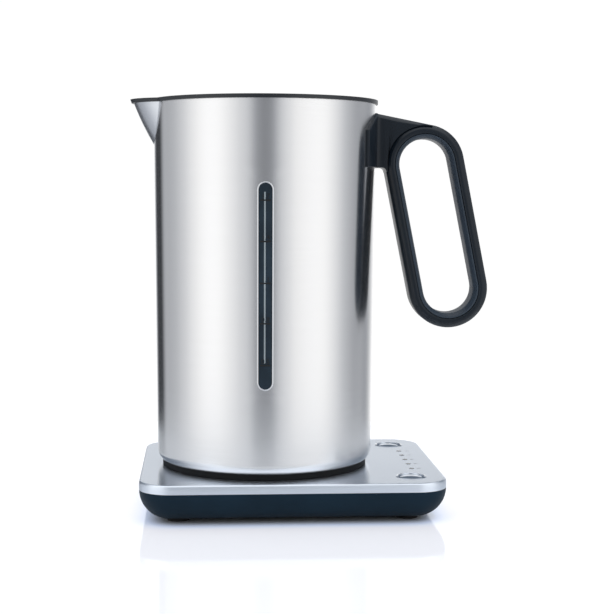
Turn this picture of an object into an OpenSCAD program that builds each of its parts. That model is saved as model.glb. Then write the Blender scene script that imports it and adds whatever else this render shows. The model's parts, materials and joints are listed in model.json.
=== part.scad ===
// Cordless electric kettle on its temperature-control base.
// Millimetres, +Z up. The feet stand on z = 0, and the origin is the middle of the kettle's outline.

/* [Base] */
// Jug axis to the base's left edge
base_left = 72; // [66:1:90]
// Jug axis to the base's right edge
base_right = 100.2; // [92:1:120]
// Base, front to back
base_depth = 144; // [136:1:170]
// Corner radius of the base in plan
base_corner_r = 18; // [16.5:0.5:24]
// Height of the black lower housing, which is also the radius of its rounded underside
housing_h = 16.3; // [14:0.1:17]
// Height of the steel band round the top plate
band_h = 5; // [4.5:0.5:7]
// Thickness of the steel top plate
skin_t = 0.8; // [0.6:0.1:1.2]
// Wall of the lower housing
housing_wall = 2.4; // [2:0.2:3]
// Height of the rubber feet below the housing
foot_h = 2; // [1.5:0.5:4]
// Radius of a rubber foot
foot_r = 6; // [5:0.5:7]
// Thickness of the carrier deck under the steel plate
deck_t = 1.6; // [1.4:0.2:2.2]

/* [Controls] */
// Base's right edge to the middle of the two buttons
button_in = 19.2; // [15:0.1:21]
// Base's front or back edge to the middle of the nearer button
button_end = 21.5; // [20:0.5:28]
// Outer radius of the ring round a button
bezel_r = 8.8; // [8.4:0.1:9.6]
// Radius of a button's cap
cap_r = 6.9; // [6:0.1:7.2]
// How far a button goes down
button_travel = 1; // [0.6:0.1:1.4]
// Base's right edge to the row of indicator lights
led_in = 15.7; // [13:0.1:17]
// Distance between indicator lights
led_pitch = 14; // [12:0.5:15]
// Radius of an indicator light's lens
led_r = 1.5; // [1.2:0.1:2]
// Number of indicator lights
led_count = 5; // [3:2:5]

/* [Connector] */
// Radius of the power plug that stands up from the base
plug_r = 12; // [11:0.5:13]
// Height of the power plug above the plate
plug_h = 9; // [7:0.5:10]
// Radius of the socket in the jug's underside
socket_r = 17; // [16:0.5:18.5]
// Radius of the centre contact pin
pin_r = 2; // [1.6:0.1:2.4]

/* [Jug] */
// Angle at which the jug stands on the round connector, in degrees
jug_turn = -2.1; // [-6:0.1:6]
// Outer radius of the steel body at the top
jug_top_r = 64.8; // [63:0.2:66]
// How much less the steel body's radius is at the bottom
jug_taper = 1.8; // [1:0.2:2.4]
// Height of the steel body above the base plate
jug_h = 210.8; // [200:1:225]
// Wall of the steel body
jug_wall = 0.8; // [0.6:0.1:1.2]
// Radius of the rounding at the body's bottom edge
edge_r = 7.2; // [6.4:0.2:8]
// Height of that rounding
edge_drop = 5.6; // [5:0.2:6.2]
// How far the black foot ring under the jug stands in from the steel's side
foot_ring_in = 2.9; // [2.5:0.1:4.5]
// Height of the steel edge above the base plate
foot_ring_h = 3.4; // [3:0.2:5]
// Height of the jug's floor above the base plate
floor_h = 25; // [24:0.5:30]

/* [Spout] */
// Radius of the rounded beak
spout_r = 26.5; // [24:0.5:28]
// How far the beak reaches out from the body at the top
spout_out = 11.5; // [9:0.5:15]
// Height of the beak
spout_h = 24; // [21:0.5:28]
// Radius of the beak's outward bulge, seen from the side
spout_bend_r = 156; // [140:2:200]

/* [Rim and lid] */
// How far the black rim overhangs the steel body
lip_over = 1.2; // [1:0.1:2.2]
// Height of the black rim above the steel body
rim_h = 2.2; // [1.8:0.1:3]
// Width of the collar, from the body's side to the mouth
collar_w = 9.6; // [9:0.2:11]
// Depth of the lid's plug below its flange
lid_plug_h = 9; // [7:0.5:12]
// Radius of the finger scoop in the lid
scoop_r = 15; // [12:0.5:17]
// Body's side to the lid's hinge pin
hinge_in = 5.2; // [4.8:0.1:5.6]
// Radius of the hinge pin
hinge_pin_r = 1.2; // [1:0.1:1.4]

/* [Gauge] */
// Width of the water gauge, over its frame
gauge_w = 9.1; // [8.5:0.1:12]
// Height of the gauge's lower end above the base plate
gauge_low = 49; // [44:0.5:56]
// Length of the gauge
gauge_len = 118.4; // [105:0.2:126]
// Width of the gauge's frame line
gauge_frame_t = 0.75; // [0.6:0.05:1]

/* [Handle] */
// Lean of the handle's loop, in degrees from upright
handle_tilt = 11.3; // [8:0.1:14]
// Outer radius of the loop's round ends
loop_r = 23.1; // [21:0.1:26]
// Radius of the hole's round ends
hole_r = 14.8; // [13.5:0.1:16]
// Distance between the centres of the loop's round ends
loop_len = 74; // [65:1:85]
// Depth of the loop, front to back
loop_depth = 25; // [18:0.5:30]
// Body's side to the centre of the loop's upper end
loop_out = 28.4; // [26.4:0.1:33]
// Body's top edge down to that centre
loop_drop = 34.4; // [31:0.2:40]
// Half the angle that the handle's bracket spans round the jug
bracket_angle = 27; // [22:0.5:30]
// Radius of the bracket's rounded upper edge
bracket_crown_r = 45; // [34:1:60]
// Thickness of the bracket
bracket_t = 1.5; // [1.2:0.1:2]
// Height of the bracket
bracket_h = 32; // [28:0.2:38]
// Body's top edge down to the bracket's
bracket_drop = 4.6; // [4.4:0.2:9]

/* [Hidden] */
$fn = 64;
e = 0.01;            // overlap that keeps a cut's faces apart
gap = 0.3;           // running gap between pieces that move apart
seat = 0.05;         // assembly clearance inside one body
far = 3 * jug_top_r; // past every piece
slot_depth = jug_top_r;
steel = [0.78, 0.79, 0.81];
plate_tint = [0.82, 0.84, 0.88];
black = [0.13, 0.16, 0.2];
rubber = [0.06, 0.06, 0.07];
brass = [0.78, 0.62, 0.3];
clear = [0.8, 0.9, 0.95, 0.5];

// heights in the base, from the table
housing_z = foot_h;
band_z = housing_z + housing_h;
plate_z = band_z + band_h;
deck_z = plate_z - skin_t - deck_t;
floor_z = housing_z + housing_wall;
skin_edge_r = 1.2;
flat_in = housing_h;
foot_in = flat_in + foot_r - 0.8;
board_t = 1.6;
board_z = floor_z + 2.6;
board_top = board_z + board_t;
board_x = [base_right - flat_in - 30, base_right - flat_in + 6];
board_y = base_depth / 2 - flat_in + 1;
switch_h = 4;
guide_base = board_top + 1.4;
cap_top = plate_z + 0.2;
cap_dish = 1;
dish_r = (cap_r * cap_r + cap_dish * cap_dish) / (2 * cap_dish);
stem_r = 2.4;
plunger_r = 1.6;
plunger_sunk = 1.2;
plunger_out = button_travel + gap;
gland_x = 14;
gland_r = 5.4;
cord_r = 3.6;
gland_z = housing_z + 9.2;
gland_len = 16;
plug_body_r = plug_r + 4;
socket_h = 14;
socket_in_r = plug_r + gap + 0.1;
plug_ring_z = plate_z + 2.6;
plug_ring_h = 3;
screw_r = 1.5;
screw_head_r = 2.8;
screw_head_h = 1.6;

button_x = base_right - button_in;
button_pitch = base_depth - 2 * button_end;
led_x = base_right - led_in;

// radii and reaches from the jug axis
jug_bottom_r = jug_top_r - jug_taper;
foot_ring_r = jug_bottom_r - foot_ring_in;
rim_r = jug_top_r + lip_over;
mouth_r = jug_top_r - collar_w;
hinge_x = jug_top_r - hinge_in;
spout_reach = jug_top_r + spout_out;
loop_x = jug_top_r + loop_out;
loop_z = jug_h - loop_drop;
bracket_high = jug_h - bracket_drop;
bracket_low = bracket_high - bracket_h;
gauge_high = gauge_low + gauge_len;
// the kettle's outline decides where the jug axis lies
handle_reach = loop_x + loop_len * sin(handle_tilt) + loop_r;
axis_x = (spout_reach + lip_over - handle_reach) / 2;

// heights in the jug, from the base plate
function jug_r(z) = jug_bottom_r + (jug_top_r - jug_bottom_r) * z / jug_h;
edge_z = foot_ring_h + edge_drop;
edge_angle = asin(edge_drop / edge_r);
rim_top = jug_h + rim_h;
hinge_z = rim_top - 3.2;
knuckle_r = 2.8;
knuckle_w = 26;
pocket_w = knuckle_w + 2 * gap + 0.2;
hinge_len = pocket_w + 12;
ledge_z = rim_top - 7;
ledge_t = 2.4;
ledge_w = 4;
collar_wall = 2;
lid_r = mouth_r - 0.9;
lid_top = rim_top - 0.8;
cover_t = 1;
flange_t = 2.6;
flange_z = lid_top - cover_t - flange_t;
plug_wall_r = mouth_r - ledge_w - 1.2;
lid_low = flange_z - lid_plug_h;
scoop_x = -22;
scoop_z = flange_z - 4;
spreader_t = 2.5;
element_r = 38;
element_tube_r = 3.3;
stud_at = 53;
cover_z = foot_ring_h;
cover_t_low = 2;
spout_low = jug_h - spout_h;
filter_half = 24;
filter_top = ledge_z - ledge_t;
gauge_hole = gauge_w - 2 * gauge_frame_t;
gauge_mid_r = jug_r((gauge_low + gauge_high) / 2);
chamber_d = 6;
flange_over = 3;
limb_face = 2.7;
channel_r = loop_r - 2.4;
split_r = hole_r + 2.8;
wall_y = loop_depth / 2;

module in_base() { translate([axis_x, 0, 0]) children(); }
module in_jug() { translate([axis_x, 0, plate_z]) rotate([0, 0, jug_turn]) children(); }
module tube(ro, ri, h) {
    difference() { cylinder(h = h, r = ro); translate([0, 0, -1]) cylinder(h = h + 2, r = ri); }
}
module box_at(lo, hi) { translate(lo) cube(hi - lo); }

// a profile (x outward from the corner centres, y up) carried round a rounded rectangle
module round_rim(r) {
    x0 = -base_left + r; x1 = base_right - r; y1 = base_depth / 2 - r;
    for (c = [[x1, y1, 0], [x0, y1, 90], [x0, -y1, 180], [x1, -y1, 270]])
        translate([c[0], c[1], 0]) rotate([0, 0, c[2]]) rotate_extrude(angle = 90) children();
    for (s = [[x1, -y1, 0, 2 * y1], [x1, y1, 90, x1 - x0], [x0, y1, 180, 2 * y1],
              [x0, -y1, 270, x1 - x0]])
        translate([s[0], s[1], 0]) rotate([0, 0, s[2]])
            translate([0, s[3], 0]) rotate([90, 0, 0]) linear_extrude(s[3]) children();
}
// the flat middle that a round_rim encloses
module rim_middle(r, z0, z1) {
    box_at([-base_left + r, -base_depth / 2 + r, z0], [base_right - r, base_depth / 2 - r, z1]);
}
module round_slab(r, inset, z0, z1) {
    round_rim(r) translate([0, z0]) square([r - inset, z1 - z0]);
    rim_middle(r, z0, z1);
}
// quarter-round underside of the housing, shrunk by t for the inside
module pan_profile(t) {
    rr = housing_h - t;
    translate([0, band_z - rr]) square([base_corner_r - housing_h + e, rr]);
    intersection() {
        translate([base_corner_r - housing_h, band_z]) circle(r = rr);
        translate([base_corner_r - housing_h, band_z - rr]) square(rr);
    }
}
module pan(t) {
    round_rim(base_corner_r) pan_profile(t);
    rim_middle(base_corner_r, housing_z + t, band_z);
}
foot_at = [for (x = [-base_left + foot_in, base_right - foot_in], y = [-1, 1])
    [x, y * (base_depth / 2 - foot_in)]];
screw_at = [for (x = [-base_left + foot_in + 20, board_x[0] - 10], y = [-1, 1])
    [x, y * (base_depth / 2 - foot_in - 4)]];
board_post_at = [for (x = [board_x[0] + 5, board_x[1] - 10], y = [-1, 1]) [x, y * (board_y - 22)]];

// ---- base ----
module base_housing() color(black) in_base() {
    difference() {
        union() {
            difference() { pan(0); pan(housing_wall); }
            for (p = screw_at) translate([p[0], p[1], housing_z])
                cylinder(h = deck_z - 6 - housing_z, r = screw_head_r + 1.6);
            for (p = board_post_at) translate([p[0], p[1], floor_z - e])
                cylinder(h = board_z - floor_z + e, r = 3);
        }
        for (p = screw_at) translate([p[0], p[1], housing_z - 1]) {
            cylinder(h = plate_z, r = screw_r + 0.15);
            cylinder(h = 1 + screw_head_h + 1.2, r = screw_head_r + 0.2);
        }
        translate([gland_x, 0, gland_z]) rotate([-90, 0, 0])
            cylinder(h = base_depth, r = gland_r + seat);
    }
}
module base_deck() color([0.2, 0.22, 0.25]) in_base() difference() {
    union() {
        round_slab(base_corner_r, skin_t + 0.4, deck_z, plate_z - skin_t);
        for (p = screw_at) translate([p[0], p[1], deck_z - 6]) cylinder(h = 6 + e, r = 4);
    }
    translate([0, 0, deck_z - 1]) cylinder(h = deck_t + 2, r = plug_r + 0.5);
    for (s = [-1, 1]) translate([button_x, s * button_pitch / 2, deck_z - 1])
        cylinder(h = deck_t + 2, r = bezel_r - 1);
    led_places() translate([0, 0, deck_z - 1]) cylinder(h = deck_t + 2, r = led_r + seat);
    for (p = screw_at) translate([p[0], p[1], deck_z - 7]) cylinder(h = 6, r = screw_r);
}
module led_places() {
    for (i = [0:led_count - 1]) translate([led_x, (i - (led_count - 1) / 2) * led_pitch, 0])
        children();
}
module base_plate() color(plate_tint) in_base() difference() {
    union() {
        round_rim(base_corner_r) difference() {
            skin_section(0);
            skin_section(skin_t);
        }
        rim_middle(base_corner_r, plate_z - skin_t, plate_z);
    }
    translate([0, 0, plate_z - 2]) cylinder(h = 4, r = plug_r + 0.5);
    for (s = [-1, 1]) translate([button_x, s * button_pitch / 2, plate_z - 2])
        cylinder(h = 4, r = bezel_r - 0.8);
    led_places() translate([0, 0, plate_z - 2]) cylinder(h = 4, r = led_r + seat);
}
module skin_section(t) {
    r = base_corner_r - t;
    er = skin_edge_r - t;
    top = plate_z - t;
    low = band_z - (t > 0 ? 1 : 0);
    translate([t > 0 ? -1 : 0, low]) square([r - er + (t > 0 ? 1 : 0), top - low]);
    translate([r - er - e, low]) square([er + e, top - er - low]);
    intersection() {
        translate([r - er, top - er]) circle(r = er);
        translate([r - er, top - er]) square(er + 1);
    }
}
module feet() color(rubber) in_base()
    for (p = foot_at) translate([p[0], p[1], 0]) cylinder(h = foot_h, r = foot_r);
module screw(len) {
    cylinder(h = screw_head_h, r = screw_head_r);
    cylinder(h = len, r = screw_r - seat);
}
module base_screws() color(steel) in_base()
    for (p = screw_at) translate([p[0], p[1], housing_z + 1.2]) screw(deck_z - housing_z - 3);
module cord_gland() color(rubber) in_base() translate([gland_x, base_depth / 2 - gland_len, gland_z])
    rotate([-90, 0, 0]) difference() {
        union() {
            cylinder(h = gland_len - 0.6, r = gland_r);
            cylinder(h = 4, r = gland_r + 1);
        }
        translate([0, 0, -1]) cylinder(h = gland_len + 2, r = cord_r);
    }
terminal = [26, 12, 9];
terminal_y = base_depth / 2 - gland_len - 21;
module terminal_block() color([0.85, 0.83, 0.78]) in_base() difference() {
    translate([gland_x - terminal[0] / 2, terminal_y, floor_z]) cube(terminal);
    for (i = [-1, 0, 1]) translate([gland_x + i * 8, terminal_y - 1, floor_z + terminal[2] / 2])
        rotate([-90, 0, 0]) cylinder(h = 6, r = 1.4);
}
// a lead with a round elbow at every point of its route
module lead(route) {
    for (i = [0:len(route) - 2]) {
        v = route[i + 1] - route[i];
        translate(route[i]) rotate([0, acos(v[2] / norm(v)), atan2(v[1], v[0])])
            cylinder(h = norm(v), r = lead_r);
        if (i > 0) translate(route[i]) sphere(r = lead_r);
    }
}
lead_r = 1.2;
lead_port = plug_body_r - 6;
lead_z = floor_z + terminal[2] / 2;
module base_leads() color([0.2, 0.35, 0.65]) in_base() {
    for (i = [-1, 0]) lead([[gland_x + i * 8, terminal_y + 2, lead_z],
        [gland_x + i * 8, plug_body_r + 6 - i * 5, lead_z],
        [i * 6 + 3, plug_body_r + 6 - i * 5, lead_z],
        [i * 6 + 3, lead_port, lead_z]]);
    lead([[gland_x + 8, terminal_y + 2, lead_z], [gland_x + 8, terminal_y - 8, lead_z],
        [board_x[0] - 6, terminal_y - 8, lead_z], [board_x[0] - 6, terminal_y - 8, board_top + lead_r],
        [board_x[0] + 4, terminal_y - 8, board_top + lead_r]]);
}
module circuit_board() color([0.1, 0.35, 0.2]) in_base()
    box_at([board_x[0], -board_y, board_z], [board_x[1], board_y, board_top]);
relay_size = [19, 15, 9];
module relay() color([0.1, 0.2, 0.5]) in_base()
    translate([board_x[0] + 3, -board_y + 10, board_top]) cube(relay_size);
transformer_size = [18, 16, 9.5];
module transformer() color([0.75, 0.6, 0.2]) in_base()
    translate([board_x[0] + 3, 6, board_top]) difference() {
        cube(transformer_size);
        translate([3, -1, 2.5]) cube([2.5, 18, 4.5]);
        translate([12.5, -1, 2.5]) cube([2.5, 18, 4.5]);
    }
switch_w = 6;
module tact_switches() color([0.15, 0.15, 0.15]) in_base()
    for (s = [-1, 1]) translate([button_x, s * button_pitch / 2, board_top]) difference() {
        translate([-switch_w / 2, -switch_w / 2, 0]) cube([switch_w, switch_w, switch_h]);
        translate([0, 0, switch_h - plunger_sunk - 0.4 - button_travel]) cylinder(h = 9, r = plunger_r + gap);
    }
module led_lamps() color([0.9, 0.95, 1]) in_base()
    led_places() translate([-1.2, -0.8, board_top]) cube([2.4, 1.6, 1.4]);
module light_guides() color(clear) in_base()
    led_places() translate([0, 0, guide_base]) cylinder(h = plate_z + 0.1 - guide_base, r = led_r);
module button_bezels() color(steel) in_base()
    for (s = [-1, 1]) translate([button_x, s * button_pitch / 2, 0]) {
        translate([0, 0, plate_z]) tube(bezel_r, cap_r + gap, 0.35);
        translate([0, 0, deck_z]) tube(bezel_r - 1 - seat, cap_r + gap, plate_z - deck_z + e);
    }
module button(side) in_base() translate([button_x, side * button_pitch / 2, 0]) difference() {
    union() {
        translate([0, 0, cap_top - 2.6]) cylinder(h = 2.6, r = cap_r);
        translate([0, 0, board_top + switch_h + plunger_out])
            cylinder(h = cap_top - 1 - board_top - switch_h - plunger_out, r = stem_r);
    }
    translate([0, 0, cap_top + dish_r - cap_dish]) sphere(r = dish_r, $fn = 96);
}
module plunger(side) color([0.6, 0.6, 0.6]) in_base()
    translate([button_x, side * button_pitch / 2, board_top + switch_h - plunger_sunk])
        cylinder(h = plunger_sunk + plunger_out, r = plunger_r);
module button_back() color(steel) button(1);
module button_front() color(steel) button(-1);
module plunger_back() plunger(1);
module plunger_front() plunger(-1);
module power_plug() color(black) in_base() difference() {
    union() {
        translate([0, 0, floor_z]) cylinder(h = deck_z - floor_z, r = plug_body_r);
        translate([0, 0, floor_z]) cylinder(h = plate_z + plug_h - floor_z, r = plug_r);
    }
    translate([0, 0, plug_ring_z]) tube(plug_r + 1, plug_r - 0.9, plug_ring_h);
    translate([0, 0, floor_z + 4]) cylinder(h = 60, r = pin_r + seat);
    translate([0, 0, plate_z + plug_h - 1.2]) cylinder(h = 2, r = pin_r + 2.5);
    for (x = [-3, 3]) translate([x, lead_port, lead_z]) rotate([-90, 0, 0])
        cylinder(h = plug_body_r, r = lead_r + seat);
}
module contact_pin() color(brass) in_base() translate([0, 0, floor_z + 4]) {
    h = plate_z + plug_h + 3 - floor_z - 4;
    cylinder(h = h - pin_r, r = pin_r);
    translate([0, 0, h - pin_r]) sphere(r = pin_r);
}
module contact_ring() color(brass) in_base()
    translate([0, 0, plug_ring_z + seat]) tube(plug_r - 0.1, plug_r - 0.9 + seat, plug_ring_h - 2 * seat);

// ---- underside of the jug ----
module jug_socket() color(black) in_jug() difference() {
    translate([0, 0, gap + 0.3]) cylinder(h = socket_h - gap - 0.3, r = socket_r);
    translate([0, 0, -1]) cylinder(h = plug_h + gap + 0.1 + 1, r = socket_in_r);
    translate([0, 0, -1]) cylinder(h = plug_h + 3 + gap + 0.2 + 1, r = pin_r + gap + 0.1);
    translate([0, 0, plug_ring_z - plate_z]) cylinder(h = plug_ring_h, r = socket_in_r + 0.8);
}
module socket_contact() color(brass) in_jug()
    translate([0, 0, plug_ring_z - plate_z + seat])
        tube(socket_in_r + 0.8 - seat, socket_in_r + 0.1, plug_ring_h - 2 * seat);
control_r = socket_r + 5;
control_low = cover_z + cover_t_low;
control_top = floor_h - spreader_t;
module thermal_control() color([0.8, 0.78, 0.72]) in_jug() difference() {
    union() {
        translate([0, 0, control_low]) cylinder(h = control_top - control_low, r = control_r);
        for (s = [-1, 1]) translate([s * (control_r + 1) - 5, -6, control_top - 5]) cube([10, 12, 3]);
    }
    translate([0, 0, -1]) cylinder(h = socket_h + gap + 1, r = socket_r + gap);
    translate([0, 0, socket_h]) cylinder(h = 20, r = probe_r + 0.5);
}
module bottom_cover() color(black) in_jug() difference() {
    union() {
        translate([0, 0, cover_z]) cylinder(h = cover_t_low, r = foot_ring_r - 0.6);
        translate([0, 0, gap]) tube(foot_ring_r, foot_ring_r - 4, cover_z - gap + e);
    }
    translate([0, 0, -1]) cylinder(h = 20, r = socket_r + gap);
    stud_places() translate([0, 0, -1]) cylinder(h = 20, r = screw_r);
}
module stud_places() { for (a = [60, 180, 300]) rotate([0, 0, a]) translate([stud_at, 0, 0]) children(); }
module bottom_studs() color(steel) in_jug() stud_places() difference() {
    translate([0, 0, cover_z + cover_t_low])
        cylinder(h = floor_h - cover_z - cover_t_low, r = 3);
    translate([0, 0, cover_z]) cylinder(h = 11, r = screw_r);
}
module bottom_screws() color(steel) in_jug() stud_places()
    translate([0, 0, cover_z - screw_head_h]) screw(10);
heater_r = jug_r(floor_h) - jug_wall - seat;
module heater_plate() color(steel) in_jug() difference() {
    union() {
        translate([0, 0, floor_h]) cylinder(h = 1, r = heater_r);
        translate([0, 0, floor_h - 4]) tube(heater_r - 0.2, heater_r - 1.2, 4 + e);
    }
    translate([0, 0, floor_h - 1]) cylinder(h = 3, r = probe_r + seat);
}
module heat_spreader() color([0.75, 0.76, 0.78]) in_jug()
    translate([0, 0, floor_h - spreader_t]) tube(element_r + 10, probe_r + 0.5, spreader_t);
element_ends = [120, 240];
module heating_element() color([0.55, 0.55, 0.57]) in_jug() translate([0, 0, control_top - element_tube_r]) {
    rotate([0, 0, element_ends[1]]) rotate_extrude(angle = 240)
        translate([element_r, 0]) circle(r = element_tube_r);
    for (a = element_ends) rotate([0, 0, a]) translate([element_r, 0, 0]) {
        sphere(r = element_tube_r);
        translate([0, 0, -element_tube_r - 6]) cylinder(h = element_tube_r + 6, r = 1.2);
    }
}
probe_r = 3;
module temperature_probe() color(steel) in_jug() {
    translate([0, 0, socket_h + gap + 1]) cylinder(h = floor_h + 8 - socket_h - gap - 1, r = probe_r);
    translate([0, 0, floor_h + 8]) sphere(r = probe_r);
    translate([0, 0, floor_h + 1]) cylinder(h = 0.8, r = probe_r + 2.5);
}

// ---- steel body and spout ----
module body_section(t) polygon([[jug_r(edge_z) - t, edge_z], [jug_r(jug_h) - t, jug_h],
    [jug_r(jug_h) - t - jug_wall, jug_h], [jug_r(edge_z) - t - jug_wall, edge_z]]);
module jug_shell() color(steel) in_jug() difference() {
    rotate_extrude($fn = 128) {
        body_section(0);
        translate([jug_r(edge_z) - edge_r, edge_z]) intersection() {
            difference() { circle(r = edge_r); circle(r = edge_r - jug_wall); }
            polygon([[0, e], [20, e], [20 * cos(edge_angle), -20 * sin(edge_angle)]]);
        }
    }
    gauge_slot(gauge_w, slot_depth);
    beak(spout_r - jug_wall, 1);
    for (z = handle_screw_z) translate([jug_r(z) - 10, 0, z]) rotate([0, 90, 0])
        cylinder(h = 20, r = 2.2);
}
// centre of the beak's bulge, from its top and its tip on the body (x outward, z up)
beak_top = [spout_reach, jug_h];
beak_tip = [jug_r(spout_low), spout_low];
beak_chord = beak_top - beak_tip;
beak_dir = beak_chord / norm(beak_chord);
beak_mid = (beak_top + beak_tip) / 2;
beak_back = sqrt(pow(spout_bend_r, 2) - pow(norm(beak_chord) / 2, 2));
beak_centre = beak_mid + beak_back * [-beak_dir[1], beak_dir[0]];
// the beak's bent tube of radius r, from just under its tip to over above the steel's top edge
module beak(r, over) intersection() {
    translate([-beak_centre[0], 0, beak_centre[1]]) rotate([90, 0, 0])
        rotate_extrude($fn = 128) translate([spout_bend_r - spout_r, 0]) circle(r = r);
    box_at([-spout_reach - 9, -spout_r - 9, spout_low - 3], [-30, spout_r + 9, jug_h + over]);
}
module spout() color(steel) in_jug() difference() {
    beak(spout_r, 0);
    beak(spout_r - jug_wall, 1);
    translate([0, 0, -e]) cylinder(h = jug_h + 1, r1 = jug_r(0), r2 = jug_r(jug_h + 1));
}
filter_r = jug_r(spout_low) - jug_wall - 0.1;
filter_t = 1.4;
filter_rail = 3;
module arc_plate(ro, ri, half, z0, z1) intersection() {
    translate([0, 0, z0]) tube(ro, ri, z1 - z0);
    linear_extrude(z1 + 1) polygon([[0, 0], [2 * ro * cos(half), -2 * ro * sin(half)],
        [2 * ro * cos(half), 2 * ro * sin(half)]]);
}
module spout_filter() color(black) in_jug() rotate([0, 0, 180]) difference() {
    arc_plate(filter_r, filter_r - filter_t, filter_half, spout_low - filter_rail, filter_top);
    arc_plate(filter_r + 1, filter_r - filter_t - 1, filter_half - filter_rail, spout_low,
        filter_top - filter_rail);
}
module filter_mesh() color([0.6, 0.6, 0.6]) in_jug() rotate([0, 0, 180])
    arc_plate(filter_r - 0.5, filter_r - 0.9, filter_half - filter_rail - 0.02, spout_low + seat,
        filter_top - filter_rail - seat);
collar_r = jug_r(ledge_z - ledge_t) - jug_wall - seat;
module rim_collar() color(black) in_jug() difference() {
    union() {
        translate([0, 0, jug_h]) tube(rim_r, mouth_r, rim_h);
        translate([0, 0, ledge_z - ledge_t]) tube(collar_r, mouth_r, jug_h - ledge_z + ledge_t + e);
        translate([0, 0, ledge_z - ledge_t]) tube(mouth_r + e, mouth_r - ledge_w, ledge_t);
        intersection() {
            beak(spout_r + lip_over, rim_h);
            translate([0, 0, jug_h]) tube(far, rim_r - 1, rim_h);
        }
    }
    difference() {
        translate([0, 0, ledge_z - ledge_t - 1])
            tube(collar_r - collar_wall, mouth_r + collar_wall, jug_h - ledge_z + ledge_t + 1);
        translate([0, -hinge_len / 2 - 2, 0]) cube([rim_r, hinge_len + 4, rim_top]);
    }
    intersection() {
        beak(spout_r - jug_wall - 0.8, rim_h + 1);
        translate([0, 0, ledge_z - 9]) tube(far, mouth_r + collar_wall + 1, 30);
    }
    box_at([mouth_r - ledge_w - 1, -pocket_w / 2, ledge_z - e],
        [hinge_x + knuckle_r + 0.8, pocket_w / 2, rim_top + 1]);
    translate([hinge_x, 0, hinge_z]) rotate([90, 0, 0])
        cylinder(h = hinge_len + 2 * seat, r = hinge_pin_r + 0.02, center = true);
}

// ---- water gauge ----
module slot_2d(w, lo, hi) {
    translate([-w / 2, lo + w / 2]) square([w, hi - lo - w]);
    translate([0, lo + w / 2]) circle(d = w);
    translate([0, hi - w / 2]) circle(d = w);
}
module gauge_slot(w, depth) {
    grow = (w - gauge_w) / 2;
    translate([0, -jug_r(0) + 20, 0]) rotate([90, 0, 0])
        linear_extrude(depth) slot_2d(w, gauge_low - grow, gauge_high + grow);
}
module shell_layer(ro_off, ri_off) difference() {
    cylinder(h = jug_h, r1 = jug_r(0) + ro_off, r2 = jug_r(jug_h) + ro_off);
    translate([0, 0, -e]) cylinder(h = jug_h + 2 * e, r1 = jug_r(0) + ri_off, r2 = jug_r(jug_h) + ri_off);
}
module gauge_frame() color([0.9, 0.9, 0.92]) in_jug() intersection() {
    difference() {
        gauge_slot(gauge_w - 2 * seat, slot_depth);
        translate([0, 1, 0]) gauge_slot(gauge_hole, slot_depth + 2);
    }
    shell_layer(0.3, -jug_wall);
}
module gauge_window() color(clear) in_jug() difference() {
    union() {
        intersection() {
            gauge_slot(gauge_hole - 2 * seat, slot_depth);
            shell_layer(-0.5, -jug_wall - chamber_d);
        }
        intersection() {
            gauge_slot(gauge_w + 2 * flange_over, slot_depth);
            shell_layer(-jug_wall - 0.8, -jug_wall - 2);
        }
    }
    intersection() {
        gauge_slot(gauge_hole - 2.4, slot_depth);
        shell_layer(-2, -jug_wall - chamber_d - 1);
    }
}
module gauge_seal() color([0.85, 0.85, 0.85]) in_jug() difference() {
    intersection() {
        gauge_slot(gauge_w + 2 * flange_over, slot_depth);
        shell_layer(-jug_wall - seat, -jug_wall - 0.8 + seat / 2);
    }
    translate([0, 1, 0]) gauge_slot(gauge_hole, slot_depth + 2);
}
module gauge_back() color(black) in_jug() difference() {
    intersection() {
        gauge_slot(gauge_w + 2 * flange_over, slot_depth);
        shell_layer(-jug_wall - 2 - seat, -jug_wall - chamber_d - 1.4);
    }
    intersection() {
        translate([0, 1, 0]) gauge_slot(gauge_hole, slot_depth + 2);
        shell_layer(0, -jug_wall - chamber_d - seat);
    }
    for (z = [gauge_low + gauge_hole / 2 + 2, gauge_high - gauge_hole / 2 - 2])
        translate([0, -gauge_mid_r + chamber_d - 4, z]) rotate([-90, 0, 0]) cylinder(h = 20, r = 1.5);
}

// ---- handle ----
handle_screw_z = [bracket_low + 6, bracket_high - 6];
module handle_bracket() color(black) in_jug() difference() {
    intersection() {
        shell_layer(bracket_t, seat);
        arc_plate(jug_top_r + 10, 10, bracket_angle, bracket_low, bracket_high);
        translate([0, 0, bracket_high - bracket_crown_r]) rotate([0, 90, 0])
            cylinder(h = rim_r + 10, r = bracket_crown_r, $fn = 128);
    }
    for (z = handle_screw_z) translate([jug_r(z) - 10, 0, z]) rotate([0, 90, 0])
        cylinder(h = 20, r = 2.2);
}
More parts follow.
